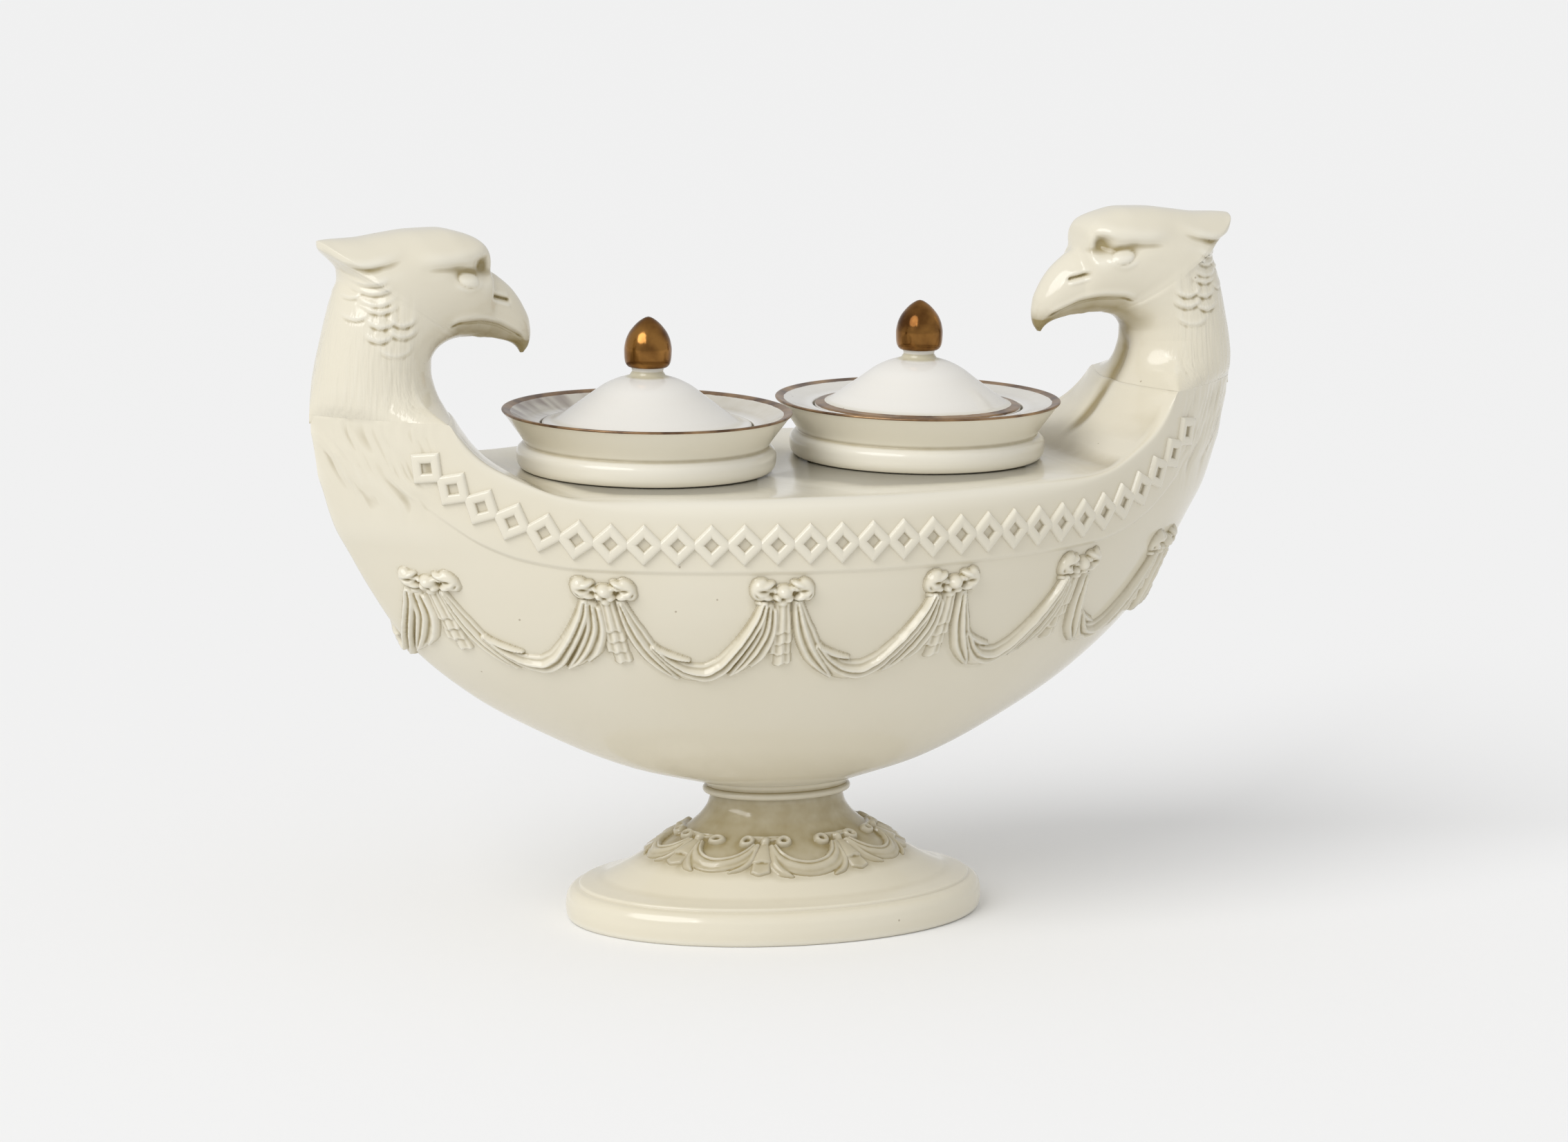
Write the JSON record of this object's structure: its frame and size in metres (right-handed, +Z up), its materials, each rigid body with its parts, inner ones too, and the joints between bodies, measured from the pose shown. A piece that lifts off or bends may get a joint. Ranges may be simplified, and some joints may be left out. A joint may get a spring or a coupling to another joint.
{
  "type": "desk inkstand",
  "caption": "Boat-shaped glazed earthenware inkstand on an oval foot, with eagle-head ends, swag relief and lift-out ink pots with domed lids and gilt knobs.",
  "frame": {"origin": "centre of the foot's resting face, on the surface that the inkstand stands on", "axes": "+X along the boat towards the right-hand eagle, +Y towards the back, +Z up"},
  "size_m": [0.28, 0.131, 0.1993],
  "materials": {
    "cream_glaze": "glossy cream glaze over cast and sprigged earthenware",
    "pot_glaze": "glossy cream glaze, white inside, with a gilt line on the rim",
    "white_glaze": "glossy white glaze with a gilt edge",
    "gilding": "worn burnished gilding on ceramic"
  },
  "bodies": {
    "stand": {"hull_shell": "cream_glaze", "deck_plate": "cream_glaze", "foot": "cream_glaze", "foot_collar": "cream_glaze", "left_eagle": "cream_glaze", "right_eagle": "cream_glaze", "front_diamond_chain": "cream_glaze", "back_diamond_chain": "cream_glaze", "hull_bow_1": "cream_glaze", "hull_bow_2": "cream_glaze", "hull_bow_3": "cream_glaze", "hull_bow_4": "cream_glaze", "hull_bow_5": "cream_glaze", "hull_bow_6": "cream_glaze", "hull_bow_7": "cream_glaze", "hull_bow_8": "cream_glaze", "hull_bow_9": "cream_glaze", "hull_bow_10": "cream_glaze", "hull_bow_11": "cream_glaze", "hull_bow_12": "cream_glaze", "hull_swag_1": "cream_glaze", "hull_swag_2": "cream_glaze", "hull_swag_3": "cream_glaze", "hull_swag_4": "cream_glaze", "hull_swag_5": "cream_glaze", "hull_swag_6": "cream_glaze", "hull_swag_7": "cream_glaze", "hull_swag_8": "cream_glaze", "hull_swag_9": "cream_glaze", "hull_swag_10": "cream_glaze", "hull_swag_11": "cream_glaze", "hull_swag_12": "cream_glaze", "foot_bow_1": "cream_glaze", "foot_bow_2": "cream_glaze", "foot_bow_3": "cream_glaze", "foot_bow_4": "cream_glaze", "foot_bow_5": "cream_glaze", "foot_bow_6": "cream_glaze", "foot_bow_7": "cream_glaze", "foot_bow_8": "cream_glaze", "foot_swag_1": "cream_glaze", "foot_swag_2": "cream_glaze", "foot_swag_3": "cream_glaze", "foot_swag_4": "cream_glaze", "foot_swag_5": "cream_glaze", "foot_swag_6": "cream_glaze", "foot_swag_7": "cream_glaze", "foot_swag_8": "cream_glaze"},
    "left_pot": {"left_ink_pot": "pot_glaze"},
    "left_cover": {"left_lid": "white_glaze", "left_lid_knob": "gilding"},
    "right_pot": {"right_ink_pot": "pot_glaze"},
    "right_cover": {"right_lid": "white_glaze", "right_lid_knob": "gilding"}
  },
  "joints": [
    {"name": "left_pot_lift", "type": "slide", "parent": "stand", "child": "left_pot", "axis": [0, 0, 1], "range_m": [0, 0.0145]},
    {"name": "left_lid_lift", "type": "slide", "parent": "left_pot", "child": "left_cover", "axis": [0, 0, 1], "range_m": [0, 0.06]},
    {"name": "right_pot_lift", "type": "slide", "parent": "stand", "child": "right_pot", "axis": [0, 0, 1], "range_m": [0, 0.0145]},
    {"name": "right_lid_lift", "type": "slide", "parent": "right_pot", "child": "right_cover", "axis": [0, 0, 1], "range_m": [0, 0.06]}
  ]
}
